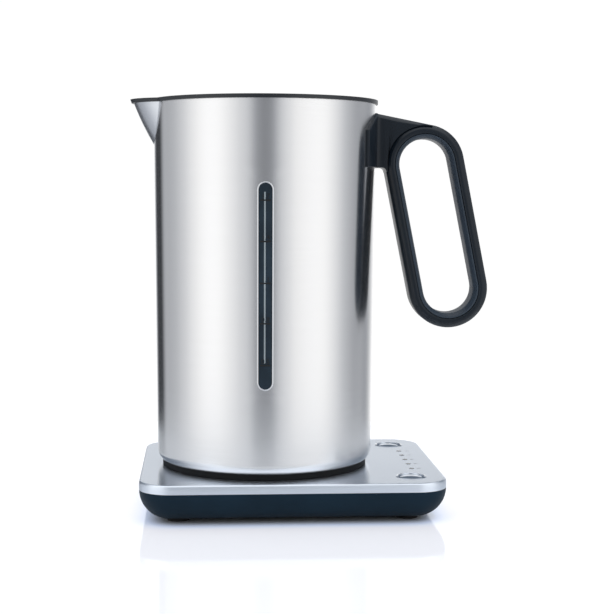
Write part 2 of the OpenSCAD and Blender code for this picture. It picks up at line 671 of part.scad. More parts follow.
// a section (x from the loop's centre line out, y front to back) carried round the loop
module loop_sweep() translate([loop_x, 0, loop_z]) rotate([0, -handle_tilt, 0]) {
    for (h = [[0, 0], [-loop_len, 180]]) translate([0, 0, h[0]]) rotate([90, 0, 0])
        rotate([0, 0, h[1]]) rotate_extrude(angle = 180) children();
    for (m = [0, 1]) mirror([m, 0, 0]) translate([0, 0, -loop_len]) linear_extrude(loop_len) children();
}
module shell_section() difference() {
    polygon([[split_r + seat, -wall_y], [loop_r - limb_face, -wall_y], [loop_r, -wall_y + 4],
        [loop_r, wall_y - 4], [loop_r - limb_face, wall_y], [split_r + seat, wall_y]]);
    translate([split_r - 1, -wall_y + 2.2]) square([channel_r - split_r + 1, loop_depth - 4.4]);
}
module liner_section() union() {
    polygon([[hole_r, -wall_y + 4.5], [hole_r + 1.6, -wall_y + 0.8], [split_r - 0.6, -wall_y + 0.4],
        [split_r - seat, -wall_y + 0.8], [split_r - seat, wall_y - 0.8],
        [split_r - 0.6, wall_y - 0.4], [hole_r + 1.6, wall_y - 0.8], [hole_r, wall_y - 4.5]]);
    translate([split_r - 0.2, -wall_y + 2.2 + seat])
        square([channel_r - split_r + 0.2 - seat, loop_depth - 4.4 - 2 * seat]);
}
// outline of the arm, x from the jug axis, y up: its top edge is tangent to the loop
arm_x = jug_r(bracket_low);
tangent = [loop_x + loop_r * sin(handle_tilt), loop_z + loop_r * cos(handle_tilt)];
arm_top = [arm_x, tangent[1] + (tangent[0] - arm_x) * tan(handle_tilt)];
notch_r = 2.6;
function limb_edge(z) = loop_x - loop_r / cos(handle_tilt) + (loop_z - z) * tan(handle_tilt);
notch_z = bracket_low - notch_r;
notch_x = limb_edge(notch_z) - notch_r;
module arm_outline() difference() {
    polygon([arm_top, tangent, [loop_x, loop_z], [limb_edge(notch_z) + 3, notch_z], [arm_x, notch_z]]);
    translate([notch_x, notch_z]) circle(r = notch_r);
    translate([notch_x - 20, notch_z - 1]) square([20, notch_r + 1]);
    translate([loop_x, loop_z]) circle(r = loop_r - 1);
}
arm_step = 1.5;
handle_screw_len = 9;
module handle_shell() color(black) in_jug() difference() {
    union() {
        loop_sweep() shell_section();
        difference() {
            translate([0, wall_y - arm_step, 0]) rotate([90, 0, 0])
                linear_extrude(loop_depth - 2 * arm_step) arm_outline();
            translate([loop_x, 0, loop_z]) rotate([0, -handle_tilt, 0])
                translate([-channel_r, -wall_y, -loop_len]) cube([2 * channel_r, loop_depth, loop_len]);
        }
    }
    translate([0, 0, -e]) cylinder(h = jug_h, r1 = jug_r(0) + bracket_t, r2 = jug_r(jug_h) + bracket_t);
    for (z = handle_screw_z) translate([jug_r(z), 0, z]) rotate([0, 90, 0])
        cylinder(h = handle_screw_len - 1.5, r = screw_r);
}
module handle_liner() color([0.2, 0.24, 0.29]) in_jug() loop_sweep() liner_section();
module handle_screws() color(steel) in_jug() for (z = handle_screw_z)
    translate([jug_r(z) - jug_wall - screw_head_h - 3 * seat, 0, z]) rotate([0, 90, 0])
        screw(handle_screw_len);

// ---- lid ----
module hinge_pin() color(steel) in_jug() translate([hinge_x, 0, hinge_z]) rotate([90, 0, 0])
    cylinder(h = hinge_len, r = hinge_pin_r, center = true);
module lid_base() color(black) in_jug() difference() {
    union() {
        translate([0, 0, flange_z]) cylinder(h = flange_t, r = lid_r);
        translate([0, 0, lid_low]) tube(plug_wall_r, plug_wall_r - 2, lid_plug_h + e);
        translate([scoop_x, 0, scoop_z - 1.2]) cylinder(h = flange_z - scoop_z + 1.2 + e, r = scoop_r + 1.2);
        box_at([plug_wall_r, -knuckle_w / 2, flange_z + 0.4], [hinge_x, knuckle_w / 2, flange_z + flange_t]);
        translate([hinge_x, 0, hinge_z]) rotate([90, 0, 0])
            cylinder(h = knuckle_w, r = knuckle_r, center = true);
    }
    translate([scoop_x, 0, scoop_z]) cylinder(h = 20, r = scoop_r);
    translate([hinge_x, 0, hinge_z]) rotate([90, 0, 0])
        cylinder(h = knuckle_w + 2, r = hinge_pin_r + 0.06, center = true);
}
module lid_cover() color(steel) in_jug() difference() {
    translate([0, 0, lid_top - cover_t]) cylinder(h = cover_t, r = lid_r);
    translate([scoop_x, 0, lid_top - cover_t - 1]) cylinder(h = 4, r = scoop_r);
}
grip_w = 9;
module lid_grip() color(black) in_jug() translate([scoop_x, 0, 0]) intersection() {
    box_at([-grip_w / 2, -scoop_r, lid_top - 1.6], [grip_w / 2, scoop_r, rim_top - 0.2]);
    cylinder(h = rim_top + 9, r = scoop_r - seat);
}
module lid_seal() color([0.85, 0.85, 0.85]) in_jug()
    translate([0, 0, ledge_z + gap]) tube(mouth_r - 1.2, plug_wall_r + seat, flange_z - ledge_z - gap);
module lid_dish() color(steel) in_jug()
    translate([0, 0, lid_low - 0.8]) cylinder(h = 0.8, r = plug_wall_r - 0.3);

base_housing();
base_deck();
base_plate();
feet();
base_screws();
cord_gland();
terminal_block();
base_leads();
circuit_board();
relay();
transformer();
tact_switches();
led_lamps();
light_guides();
button_bezels();
button_back();
button_front();
plunger_back();
plunger_front();
power_plug();
contact_pin();
contact_ring();
jug_socket();
socket_contact();
thermal_control();
bottom_cover();
bottom_studs();
bottom_screws();
heater_plate();
heat_spreader();
heating_element();
temperature_probe();
jug_shell();
spout();
spout_filter();
filter_mesh();
rim_collar();
gauge_frame();
gauge_window();
gauge_seal();
gauge_back();
handle_bracket();
handle_shell();
handle_liner();
handle_screws();
hinge_pin();
lid_base();
lid_cover();
lid_grip();
lid_seal();
lid_dish();
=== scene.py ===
"""Cordless electric kettle on its temperature-control base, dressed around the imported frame.

Sizes are in millimetres in the two groups' own axes. on_base() and on_jug() place them in the
frame, in metres: x and y from the jug's axis, z from the table for the base and from the base
plate for the jug, whose own x axis points along the handle.
"""

import json
import math

import bmesh
import bpy
import numpy as np
from mathutils import Matrix, Vector, geometry


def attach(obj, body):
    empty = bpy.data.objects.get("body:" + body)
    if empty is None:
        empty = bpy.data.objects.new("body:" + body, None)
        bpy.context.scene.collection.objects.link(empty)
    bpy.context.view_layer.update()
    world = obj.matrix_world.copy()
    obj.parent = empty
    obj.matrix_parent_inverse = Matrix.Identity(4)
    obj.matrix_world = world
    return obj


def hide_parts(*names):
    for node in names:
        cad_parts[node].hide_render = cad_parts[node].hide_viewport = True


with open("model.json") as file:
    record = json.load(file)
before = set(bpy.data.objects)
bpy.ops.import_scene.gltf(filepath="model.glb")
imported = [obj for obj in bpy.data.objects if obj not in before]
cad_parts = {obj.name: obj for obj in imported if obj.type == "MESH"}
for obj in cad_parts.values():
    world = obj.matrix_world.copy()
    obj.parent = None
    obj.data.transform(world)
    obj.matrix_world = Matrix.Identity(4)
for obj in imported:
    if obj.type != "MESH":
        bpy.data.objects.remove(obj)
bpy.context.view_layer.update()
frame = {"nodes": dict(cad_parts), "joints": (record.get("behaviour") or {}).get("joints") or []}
joints = {joint["name"]: joint for joint in frame["joints"]}

# ---- The room ----
# A white sweep under soft boxes: two tall ones before the kettle with a dark gap between them,
# where the camera stands, a black flag beside its left flank that draws the edge of the steel, and
# a grey drape high behind it. It stands on a sheet of white acrylic.
axis = np.array(joints["jug_swivel"]["pos_m"])
yaw, pitch, roll = (math.radians(a) for a in (4.12, 4.62, 0.24))
camera_from_jug, focal_length, film_width = (-0.0360, -0.8484, 0.1607), 84.39, 36
ahead = np.array([math.sin(yaw) * math.cos(pitch), math.cos(yaw) * math.cos(pitch),
                  -math.sin(pitch)])
side = np.array([math.cos(yaw), -math.sin(yaw), 0])
over = np.cross(side, ahead)
pose = np.eye(4)
pose[:3, 0] = math.cos(roll) * side + math.sin(roll) * over
pose[:3, 1] = math.cos(roll) * over - math.sin(roll) * side
pose[:3, 2] = -ahead
pose[:3, 3] = axis + np.array(camera_from_jug)
camera = bpy.data.objects.new("camera", bpy.data.cameras.new("camera"))
bpy.context.scene.collection.objects.link(camera)
camera.data.lens = focal_length
camera.data.sensor_width = film_width
camera.data.clip_end = 50
camera.matrix_world = Matrix(pose)
bpy.context.scene.camera = camera
bpy.context.scene.view_settings.view_transform = "Standard"


def add(tree, kind, inputs=None, **settings):
    """A shader node of that kind. inputs fills its sockets, each by a link or a value. A socket
    goes by its name, or by its number where several share a name, as the two sides of a Mix do."""
    node = tree.nodes.new(kind)
    for key, value in settings.items():
        setattr(node, key, value)
    for key, value in (inputs or {}).items():
        if isinstance(value, bpy.types.NodeSocket):
            tree.links.new(value, node.inputs[key])
        else:
            node.inputs[key].default_value = value
    return node


def ramp(tree, factor, stops, smooth="B_SPLINE"):
    """The colour output of a ramp through stops, each a position and a grey or a colour."""
    node = add(tree, "ShaderNodeValToRGB", {0: factor})
    node.color_ramp.interpolation = smooth
    line = node.color_ramp.elements
    while len(line) < len(stops):
        line.new(0.5)
    for element, (place, tone) in zip(line, stops):
        element.position = place
        element.color = (*tone, 1) if hasattr(tone, "__len__") else (tone, tone, tone, 1)
    return node.outputs["Color"]


# What lights the room: where the middle of each box or screen stands, in degrees from the base's
# front towards its right, its half width, how square its edges are and how much light it adds to
# the dim walls. The dark gap between the boxes and the black flag take light away.
wall_light = 0.43
rig = {"left box": (-59, 38, 2, 0.73), "right box": (50, 35, 3, 0.68), "sweep": (173, 22, 4, 0.69),
       "gap": (-3, 13, 4, -0.26), "left flag": (-150, 15, 10, -0.37)}
# where the 32 stops that a ramp can hold are set, closer where the light changes faster
stops = [*range(-180, -125, 8), *range(-120, -29, 15), *range(-24, 25, 6), *range(30, 175, 18)]
brightest, coolness = 1.2, 0.05  # a ramp holds no more than 1, and the dim walls are a little blue
drape_tone, ceiling_tone = (0.16, 0.19, 0.23, 1), (1.15, 1.17, 1.2, 1)
backdrop_tone = (1.02, 1.02, 1.02, 1)  # what the camera itself sees behind the kettle
room = bpy.data.worlds.new("room")
bpy.context.scene.world = room
room.use_nodes = True
sky = room.node_tree
sky.nodes.clear()
toward = add(sky, "ShaderNodeSeparateXYZ", {0: add(sky, "ShaderNodeTexCoord").outputs["Generated"]})
forward = add(sky, "ShaderNodeMath", {0: toward.outputs["Y"], 1: -1.0}, operation="MULTIPLY")
compass = add(sky, "ShaderNodeMath", {0: toward.outputs["X"], 1: forward.outputs[0]},
              operation="ARCTAN2")
turns = add(sky, "ShaderNodeMath", {0: compass.outputs[0], 1: 0.5 / math.pi, 2: 0.5},
            operation="MULTIPLY_ADD")


def room_light(degrees):
    """Brightness of the room that many degrees from the base's front towards its right."""
    light = wall_light
    for middle, half_width, squareness, strength in rig.values():
        off = abs((degrees - middle + 180) % 360 - 180)
        light += strength * math.exp(-(off / half_width) ** squareness)
    return light


shades = []
for degrees in stops:
    grey = room_light(degrees)
    blue = coolness * max(0, 1 - grey) * grey
    shades.append((degrees / 360 + 0.5, np.array([grey - blue, grey, grey + 2 * blue]) / brightest))
walls = add(sky, "ShaderNodeVectorMath", {0: ramp(sky, turns.outputs[0], shades, "CARDINAL"),
                                          "Scale": brightest}, operation="SCALE").outputs[0]
# each of these rises from 0 to 1 between two values of the unit direction's Y or Z
behind = add(sky, "ShaderNodeMapRange", {0: toward.outputs["Y"], 1: 0.1, 2: 0.6, 3: 0.0, 4: 1.0},
             interpolation_type="SMOOTHSTEP")
raised = add(sky, "ShaderNodeMapRange", {0: toward.outputs["Z"], 1: 0.18, 2: 0.36, 3: 0.0, 4: 1.0},
             interpolation_type="SMOOTHSTEP")
overhead = add(sky, "ShaderNodeMapRange", {0: toward.outputs["Z"], 1: 0.6, 2: 0.85, 3: 0.0, 4: 1.0},
               interpolation_type="SMOOTHSTEP")
drape = add(sky, "ShaderNodeMath", {0: behind.outputs[0], 1: raised.outputs[0]},
            operation="MULTIPLY")
draped = add(sky, "ShaderNodeMix", {"Factor": drape.outputs[0], 6: walls, 7: drape_tone},
             data_type="RGBA")
around = add(sky, "ShaderNodeMix", {"Factor": overhead.outputs[0], 6: draped.outputs[2],
                                    7: ceiling_tone}, data_type="RGBA")
camera_ray = add(sky, "ShaderNodeLightPath").outputs["Is Camera Ray"]
seen = add(sky, "ShaderNodeMix", {"Factor": camera_ray, 6: around.outputs[2], 7: backdrop_tone},
           data_type="RGBA")
glow = add(sky, "ShaderNodeBackground", {"Color": seen.outputs[2]})
add(sky, "ShaderNodeOutputWorld", {"Surface": glow.outputs[0]})

bpy.ops.mesh.primitive_circle_add(vertices=128, radius=0.3, fill_type="NGON",
                                  location=(float(axis[0]), 0.0, 0))
floor = bpy.context.object
floor.name = "floor"
acrylic = bpy.data.materials.new("white_acrylic")
acrylic.use_nodes = True
gloss = acrylic.node_tree.nodes["Principled BSDF"]
gloss.inputs["Base Color"].default_value = (0.88, 0.91, 0.95, 1)
gloss.inputs["Roughness"].default_value = 0.07
gloss.inputs["Specular IOR Level"].default_value = 0.5
# painted glow and shade: the sheet emits a glow that the camera alone sees, weaker and bluer the
# nearer it comes to the base, which paints the shade round the base's foot
floor_tree = acrylic.node_tree
openness = add(floor_tree, "ShaderNodeAmbientOcclusion", {"Distance": 0.012}).outputs["AO"]
painted_glow_and_shade = ramp(floor_tree, openness,
            [(0.15, 0), (0.5, (0.21, 0.26, 0.38)), (0.7, (0.3, 0.33, 0.43)),
             (1, (0.34, 0.33, 0.35))], "LINEAR")
floor_tree.links.new(painted_glow_and_shade, gloss.inputs["Emission Color"])
# the painted glow is switched on for camera rays only
floor_tree.links.new(add(floor_tree, "ShaderNodeLightPath").outputs["Is Camera Ray"],
                     gloss.inputs["Emission Strength"])
floor.data.materials.append(acrylic)


# ---- Base: lower housing and feet ----
# One moulding in dark blue-grey plastic with a satin skin, a shallow pan whose rounded underside
# rises to the steel band, screwed from below to the carrier deck. Its four feet are rubber, and so
# is the gland for the mains lead in its back.
def moulded(name, colour, rough, grain=900.0, depth=0.00001, clouds=0.1, specular=0.5):
    """Moulded plastic or rubber: a fine eroded grain in the bump, faint clouds in colour and gloss.
    grain is the noise's scale, depth the bump's in metres and clouds the colour's swing."""
    material = bpy.data.materials.new(name)
    material.use_nodes = True
    tree = material.node_tree
    shader = tree.nodes["Principled BSDF"]
    shader.inputs["Specular IOR Level"].default_value = specular
    where = add(tree, "ShaderNodeTexCoord").outputs["Object"]
    cloud = add(tree, "ShaderNodeTexNoise", {"Vector": where, "Scale": 45.0,
                                             "Detail": 4.0}).outputs[0]
    tint = ramp(tree, cloud, [(0.3, [c * (1 - clouds) for c in colour]),
                              (0.7, [min(1, c * (1 + clouds)) for c in colour])], "EASE")
    satin = add(tree, "ShaderNodeMapRange", {0: cloud, 1: 0.3, 2: 0.7,
                                             3: rough * 0.92, 4: rough * 1.08})
    fine = add(tree, "ShaderNodeTexNoise", {"Vector": where, "Scale": grain,
                                            "Detail": 2.0}).outputs[0]
    bump = add(tree, "ShaderNodeBump", {"Height": fine, "Distance": depth})
    tree.links.new(tint, shader.inputs["Base Color"])
    tree.links.new(satin.outputs[0], shader.inputs["Roughness"])
    tree.links.new(bump.outputs[0], shader.inputs["Normal"])
    return material


def finish_nodes(material, *names):
    """Gives CAD nodes that stay in view their material."""
    for name in names:
        slots = frame["nodes"][name].data.materials
        slots.clear()
        slots.append(material)


housing_skin = moulded("housing_skin", (0.0072, 0.0225, 0.04), 0.42, specular=0.13)
foot_rubber = moulded("foot_rubber", (0.012, 0.012, 0.013), 0.8, 1500.0, 0.00004)
finish_nodes(housing_skin, "base_housing")
finish_nodes(foot_rubber, "feet", "cord_gland")


# ---- Base: carrier deck and what it carries ----
# A moulded deck under the plate, held by four screws. It bears the terminal block and its leads,
# and the control board with relay, transformer, push switches, their plungers and the lamps.
def ground_steel(name, colour, rough, scale, aniso=0.0, across=(0.0, 1.0, 0.0), lines=0.015,
                 depth=0.0000006, duller=0.0):
    """Ground stainless steel: fine scratches as noise stretched along them, in colour, gloss and
    bump. scale is the noise's along x, y and z, lines the colour's swing and depth the bump's in
    metres. Highlights are drawn out at right angles to the scratches: upwards on upright faces,
    along across on level ones. duller is added to the roughness of upright faces."""
    material = bpy.data.materials.new(name)
    material.use_nodes = True
    tree = material.node_tree
    shader = tree.nodes["Principled BSDF"]
    shader.inputs["Metallic"].default_value = 1.0
    shader.inputs["Anisotropic"].default_value = aniso
    where = add(tree, "ShaderNodeTexCoord").outputs["Object"]
    drawn = add(tree, "ShaderNodeMapping", {"Vector": where, "Scale": scale}).outputs[0]
    scratch = add(tree, "ShaderNodeTexNoise", {"Vector": drawn, "Scale": 1.0, "Detail": 5.0,
                                               "Roughness": 0.65}).outputs[0]
    cloud = add(tree, "ShaderNodeTexNoise", {"Vector": where, "Scale": 14.0,
                                             "Detail": 3.0}).outputs[0]
    worn = add(tree, "ShaderNodeMath", {0: cloud, 1: 0.2, 2: scratch},
               operation="MULTIPLY_ADD").outputs[0]
    tint = ramp(tree, worn, [(0.4, [c * (1 - lines) for c in colour]),
                             (0.8, [min(1, c * (1 + lines)) for c in colour])], "LINEAR")
    bump = add(tree, "ShaderNodeBump", {"Height": scratch, "Distance": depth})
    normal = add(tree, "ShaderNodeNewGeometry").outputs["Normal"]
    flat = add(tree, "ShaderNodeVectorMath", {0: normal, 1: (0.0, 0.0, 1.0)},
               operation="DOT_PRODUCT")
    lying = add(tree, "ShaderNodeMath", {0: flat.outputs["Value"], 1: flat.outputs["Value"]},
                operation="MULTIPLY")
    steep = add(tree, "ShaderNodeMath", {0: 1.0, 1: lying.outputs[0]},
                operation="SUBTRACT").outputs[0]
    satin = add(tree, "ShaderNodeMapRange", {0: worn, 1: 0.4, 2: 0.8, 3: rough * 0.9,
                                             4: rough * 1.1}).outputs[0]
    satin = add(tree, "ShaderNodeMath", {0: steep, 1: duller, 2: satin}, operation="MULTIPLY_ADD")
    way = add(tree, "ShaderNodeMix", {"Factor": lying.outputs[0], 4: (0.0, 0.0, 1.0), 5: across},
              data_type="VECTOR").outputs[1]
    level = add(tree, "ShaderNodeVectorMath", {0: way, 1: normal},
                operation="CROSS_PRODUCT").outputs[0]
    grain = add(tree, "ShaderNodeVectorMath", {0: normal, 1: level},
                operation="CROSS_PRODUCT").outputs[0]
    tree.links.new(tint, shader.inputs["Base Color"])
    tree.links.new(satin.outputs[0], shader.inputs["Roughness"])
    tree.links.new(bump.outputs[0], shader.inputs["Normal"])
    tree.links.new(grain, shader.inputs["Tangent"])
    return material


for node, colour, rough in [
        ("base_deck", (0.035, 0.04, 0.05), 0.6), ("terminal_block", (0.6, 0.58, 0.52), 0.5),
        ("base_leads", (0.03, 0.09, 0.35), 0.4), ("circuit_board", (0.01, 0.1, 0.035), 0.4),
        ("relay", (0.01, 0.06, 0.2), 0.35), ("transformer", (0.4, 0.28, 0.05), 0.5),
        ("led_lamps", (0.8, 0.85, 0.9), 0.3)]:
    finish_nodes(moulded(node + "_finish", colour, rough), node)
black_plastic = moulded("plug_plastic", (0.004, 0.0045, 0.0055), 0.6, specular=0.2)
inner_steel = ground_steel("inner_steel", (0.6, 0.62, 0.65), 0.35, (400, 400, 400))
finish_nodes(black_plastic, "tact_switches")
finish_nodes(inner_steel, "base_screws", "plunger_back", "plunger_front")


# ---- Base: steel top plate ----
# A deep-drawn lid of stainless steel sheet: flat top, turned-down band, soft bend between them. It
# is ground from side to side, so what it mirrors is drawn out towards the viewer, and the band is
# duller than the top.
def on_base(points):
    """Points of the base, in metres in the frame."""
    return np.asarray(points, float) / 1000 + np.array([axis[0], axis[1], 0])


def piece(name, parts, place, body, material, stands_for=(), sharp=38):
    """A mesh of parts, placed by place(), that rides on a body. A part is a grid of points, whose
    neighbours quads join, or points with a list of faces. Doubles are welded, faces turned outwards
    and edges sharper than sharp degrees kept crisp."""
    points, faces, start = [], [], 0
    for part in parts:
        if isinstance(part, tuple):
            spots, own = np.asarray(part[0], float), part[1]
            faces += [[start + i for i in face] for face in own]
        else:
            rows, columns = part.shape[:2]
            index = start + np.arange(rows * columns).reshape(rows, columns)
            quads = np.stack([index[:-1, :-1], index[:-1, 1:], index[1:, 1:], index[1:, :-1]], -1)
            faces += quads.reshape(-1, 4).tolist()
            spots = part.reshape(-1, 3)
        points.append(spots)
        start += len(spots)
    mesh = bpy.data.meshes.new(name)
    mesh.from_pydata(place(np.concatenate(points)), [], faces)
    knit = bmesh.new()
    knit.from_mesh(mesh)
    bmesh.ops.remove_doubles(knit, verts=knit.verts, dist=2e-6)
    bmesh.ops.dissolve_degenerate(knit, dist=1e-7, edges=knit.edges)
    bmesh.ops.recalc_face_normals(knit, faces=knit.faces)
    knit.to_mesh(mesh)
    knit.free()
    mesh.shade_smooth()
    mesh.set_sharp_from_angle(angle=math.radians(sharp))
    thing = bpy.data.objects.new(name, mesh)
    bpy.context.scene.collection.objects.link(thing)
    mesh.materials.append(material)
    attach(thing, body)
    if stands_for:
        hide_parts(*stands_for)
    return thing


base_left, base_right, half_depth, corner_r = 72, 100.2, 72, 18
plate_z, band, sheet, bend_r, flat_from = float(axis[2]) * 1000, 5, 0.8, 1.2, 2
button_x, button_y, bezel_r, cap_r = base_right - 19.2, half_depth - 21.5, 8.8, 6.9
led_x, led_r, led_pitch, plug_r = base_right - 15.7, 1.5, 14, 12
led_y = (np.arange(5) - 2) * led_pitch


def rounded(inset, height, steps=14):
    """A profile carried round the base's rounded rectangle: insets from its outline and heights.
    Each corner sweeps a quarter turn about its centre, and straight sides join the quarters."""
    quarters = [q * 90 + np.linspace(0, 90, steps) for q in range(4)]
    angle = np.radians(np.concatenate(quarters + [[0]]))
    right, left, back = base_right - corner_r, corner_r - base_left, half_depth - corner_r
    middle_x = np.append(np.repeat([right, left, left, right], steps), right)
    middle_y = np.append(np.repeat([back, back, -back, -back], steps), back)
    reach = corner_r - np.asarray(inset, float)[:, None]
    level = np.asarray(height, float)[:, None] + 0 * angle
    return np.stack([middle_x + reach * np.cos(angle), middle_y + reach * np.sin(angle), level], -1)


def arc(middle, height, radius, start, end, steps=8):
    """Two arrays along an arc from start to end degrees: middle + radius * cos of the angle, and
    height + radius * sin of it."""
    a = np.radians(np.linspace(start, end, steps))
    return middle + radius * np.cos(a), height + radius * np.sin(a)


def circle(x, y, radius, z, steps=48):
    """A closed ring of points about (x, y)."""
    a = np.linspace(0, 2 * np.pi, steps + 1)
    return np.stack([x + radius * np.cos(a), y + radius * np.sin(a), z + 0 * a], -1)


def sheet_face(outline, holes):
    """The flat face inside a convex ring of points and outside the rings of its holes, in triangles
    that meet the rings' own edges. A triangle whose middle lies within a hole is dropped."""
    rings = [ring[:-1] for ring in [outline, *holes]]
    flat = np.concatenate(rings)
    edges, start = [], 0
    for ring in rings:
        n = len(ring)
        edges += [(start + i, start + (i + 1) % n) for i in range(n)]
        start += n
    found = geometry.delaunay_2d_cdt([Vector(p[:2]) for p in flat], edges, [], 0, 1e-6)
    spots = np.array(found[0])
    middles = [ring.mean(0)[:2] for ring in rings[1:]]
    radii = [np.linalg.norm(ring[0, :2] - m) for ring, m in zip(rings[1:], middles)]
    kept = [face for face in found[2] if all(
        np.linalg.norm(spots[list(face)].mean(0) - m) > r for m, r in zip(middles, radii))]
    return np.column_stack([spots, np.full(len(spots), flat[0, 2])]), kept


plate_steel = ground_steel("plate_steel", (0.84, 0.9, 0.985), 0.24, (40, 2600, 900), 0.6,
                           lines=0.008, depth=0.0000002, duller=0.16)
holes = [(0, 0, plug_r + 0.5)] + [(button_x, s * button_y, bezel_r - 1) for s in (-1, 1)] + [
    (led_x, y, led_r + 0.05) for y in led_y]
bend_in, bend_z = arc(bend_r, plate_z - bend_r, bend_r, 180, 90)
back_in, back_z = arc(bend_r, plate_z - bend_r, bend_r - sheet, 90, 180)
# from the band's inner edge round its foot, up the outside, over the bend and onto the flat
skin = rounded(np.concatenate([back_in[-1:], back_in[-1:], [0, 0], bend_in[1:], [flat_from]]),
               np.concatenate([back_z[-1:], [plate_z - band] * 2, [plate_z - 3], bend_z[1:],
                               [plate_z]]))
lining = rounded(back_in, back_z)
piece("top_plate",
      [skin, lining, sheet_face(skin[-1], [circle(*h, plate_z) for h in holes]),
       sheet_face(lining[0], [circle(*h, plate_z - sheet) for h in holes])]
      + [np.stack([circle(*h, plate_z), circle(*h, plate_z - sheet)]) for h in holes],
      on_base, "base", plate_steel, ["base_plate"])


# ---- Base: buttons and lamps ----
# Two pressed steel caps, gently domed, each loose in a turned ring let into the plate.
# Between them five clear light guides stand flush, with their temperatures printed beside them.
def turned(x, y, radius, height, steps=64):
    """A profile of radii and heights turned about the upright through (x, y)."""
    a = np.linspace(0, 2 * np.pi, steps + 1)
    radius, height = np.asarray(radius, float)[:, None], np.asarray(height, float)[:, None]
    return np.stack([x + radius * np.cos(a), y + radius * np.sin(a), height + 0 * a], -1)


ring_steel = ground_steel("ring_steel", (0.6, 0.65, 0.72), 0.15, (200, 200, 200), lines=0.008)
button_steel = ground_steel("button_steel", (0.6, 0.66, 0.74), 0.15, (200, 200, 200), lines=0.008)
# radii of both profiles, and their heights above the plate
ring_r = [7.2, 7.2, 7.35, 7.5, 8.6, 8.75, bezel_r, bezel_r, 7.75, 7.75, 7.2]
ring_z = [-2.3, -0.2, 0.2, 0.33, 0.17, 0.1, 0.05, -0.02, -0.02, -2.3, -2.3]
crown_z, crown_drop, stem_r = 0.35, 0.85, 2.4
dome = np.linspace(0, cap_r - 0.35, 9)
cap_profile_r = [*dome, cap_r - 0.25, cap_r, cap_r, stem_r, stem_r, 0]
cap_profile_z = [*(crown_z - crown_drop * (dome / cap_r) ** 2), -0.52, -0.7, -2.4, -2.4, -8.1, -8.1]
piece("button_rings",
      [turned(button_x, s * button_y, ring_r, np.add(ring_z, plate_z)) for s in (-1, 1)],
      on_base, "base", ring_steel, ["button_bezels"])
for button, s in (("button_back", 1), ("button_front", -1)):
    piece(button + "_cap",
          [turned(button_x, s * button_y, cap_profile_r, np.add(cap_profile_z, plate_z))],
          on_base, button, button_steel, [button])
lens = moulded("lamp_guide", (0.03, 0.05, 0.075), 0.15, 400.0, 0.000002)
finish_nodes(lens, "light_guides")
print_ink = moulded("print_ink", (0.05, 0.065, 0.085), 0.5)


def lettering(name, words, size, spread, place, body, material):
    """Words as flat meshes in the built-in font. spread maps each point (x right, y up from the
    middle of each word's left edge) and the word's number to a place in millimetres."""
    points, faces, start = [], [], 0
    for number, word in enumerate(words):
        curve = bpy.data.curves.new(name + "_font", "FONT")
        curve.body, curve.size, curve.align_y = word, size, "CENTER"
        source = bpy.data.objects.new(name + "_font", curve)
        bpy.context.scene.collection.objects.link(source)
        letters = bpy.data.meshes.new_from_object(source)
        flat = np.empty((len(letters.vertices), 3), np.float32)
        letters.vertices.foreach_get("co", flat.ravel())
        flat = flat.astype(float)
        points.append(spread(flat[:, 0], flat[:, 1], number))
        faces += [[start + i for i in polygon.vertices] for polygon in letters.polygons]
        start += len(flat)
        bpy.data.objects.remove(source)
        bpy.data.curves.remove(curve)
        bpy.data.meshes.remove(letters)
    return piece(name, [(np.concatenate(points), faces)], place, body, material)


def beside_lamp(x, y, number):
    """A point of a temperature: right of its lamp, which are counted from the back, just clear of
    the plate."""
    return np.stack([led_x + 3 + x, led_y[4 - number] + y, plate_z + 0.02 + 0 * x], -1)


lettering("lamp_numbers", ["100", "90", "80", "70", "60"], 2.3, beside_lamp, on_base, "base",
          print_ink)


# ---- Connector and the jug's underside ----
# The round power plug with its brass contacts stands up from the base. The jug's socket slips over
# it, in a black bottom cover that three screws hold to studs under the heated floor.
brass = ground_steel("brass", (0.72, 0.5, 0.2), 0.3, (300, 300, 300))
finish_nodes(black_plastic, "power_plug", "jug_socket", "bottom_cover", "thermal_control")
finish_nodes(brass, "contact_pin", "contact_ring", "socket_contact")
finish_nodes(inner_steel, "heater_plate", "temperature_probe", "heating_element", "bottom_studs",
             "bottom_screws")
finish_nodes(moulded("heat_spreader_finish", (0.6, 0.61, 0.63), 0.45), "heat_spreader")


# ---- Jug: steel body ----
# Stainless sheet, a cone so slight that it looks like a tube, rolled in at the foot, slotted for
# the gauge and cut away behind the spout. It is ground round and round, so light runs up it in
# bands.
hinge_line = joints["lid_hinge"]["axis"]
turn = math.atan2(-hinge_line[0], hinge_line[1])
jug_h, jug_top_r, jug_taper, wall = 210.8, 64.8, 1.8, 0.8
edge_z, edge_r, edge_turn = 9.0, 7.2, 51.06
slot_w, slot_low, slot_high = 9.1, 50.8, 165.7
low_mid, high_mid = slot_low + slot_w / 2, slot_high - slot_w / 2
mean_r, gauge_side = 64, -np.pi / 2
body_steel = ground_steel("body_steel", (0.835, 0.835, 0.84), 0.2, (30, 30, 2400), 0.8)


def on_jug(points):
    """Points of the jug, in metres in the frame."""
    x, y, z = np.moveaxis(np.asarray(points, float) / 1000, -1, 0)
    c, s = math.cos(turn), math.sin(turn)
    return np.stack([c * x - s * y, s * x + c * y, z], -1) + axis


def jug_r(z):
    """Radius of the steel's outside, growing evenly with height."""
    return jug_top_r - jug_taper + jug_taper * z / jug_h


def wrap(across, z, out=0.0, facing=gauge_side):
    """A point on the steel: across millimetres round from the bearing facing, z up, out from it."""
    across, z, out = np.broadcast_arrays(np.asarray(across, float), z, out)
    bearing = facing + across / mean_r
    return np.stack([(jug_r(z) + out) * np.cos(bearing), (jug_r(z) + out) * np.sin(bearing), z], -1)


beak_r, beak_bend, beak_low, bulge_x, bulge_z = 26.5, 129.5, 186.8, 69.25, 266.94


